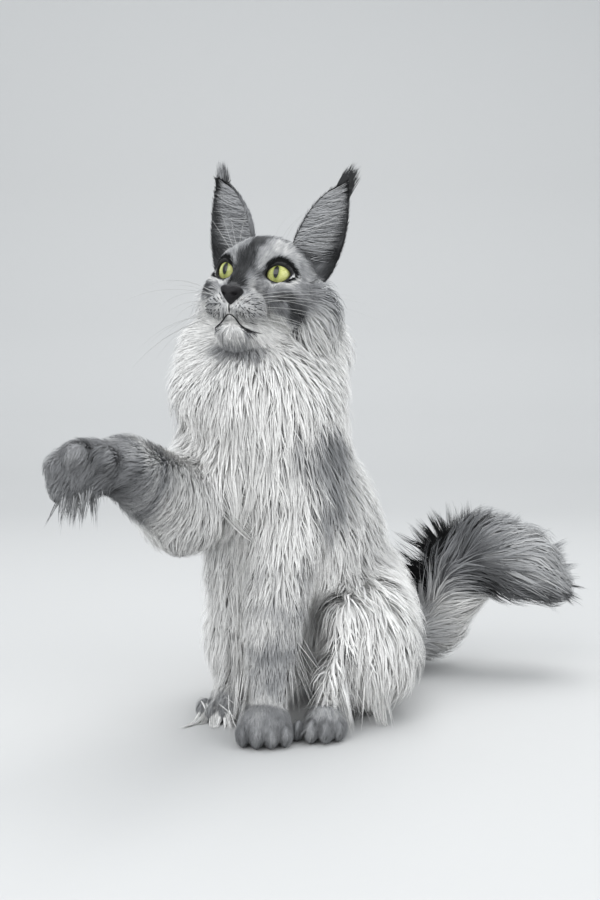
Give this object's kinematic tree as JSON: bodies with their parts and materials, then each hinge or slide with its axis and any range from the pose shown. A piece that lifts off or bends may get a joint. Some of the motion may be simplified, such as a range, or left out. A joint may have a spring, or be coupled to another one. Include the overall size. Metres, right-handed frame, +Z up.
{
  "type": "cat figure",
  "caption": "Life-size Maine Coon cat sitting upright with one forepaw raised, head turned up and aside, long ruff and brush tail.",
  "frame": {"origin": "on the floor, under the sole of the standing left forefoot", "axes": "+Z up, -Y the way the chest faces, +X to the cat's left"},
  "size_m": [0.495, 0.4348, 0.5161],
  "materials": {
    "coat": "short smoke-grey fur over white, banded",
    "long_coat": "long silky white and silver-grey fur",
    "ear_coat": "thin dark grey fur, pale hairs inside",
    "paw_coat": "short grey fur, dark pads",
    "tail_coat": "very long grey fur, dark along the top",
    "eye": "glossy yellow-green with a dark slit",
    "nose_leather": "matt black, finely grained"
  },
  "bodies": {
    "root": {"ear_left": "ear_coat", "ear_right": "ear_coat", "eye_left": "eye", "eye_right": "eye", "foreleg_left": "coat", "foreleg_right": "coat", "forepaw_left": "paw_coat", "forepaw_right": "paw_coat", "head": "coat", "hindpaw_left": "paw_coat", "hindpaw_right": "paw_coat", "muzzle": "coat", "neck": "long_coat", "nose": "nose_leather", "tail_base": "tail_coat", "tail_end": "tail_coat", "tail_middle": "tail_coat", "thigh_left": "long_coat", "thigh_right": "long_coat", "torso": "long_coat"}
  },
  "joints": []
}
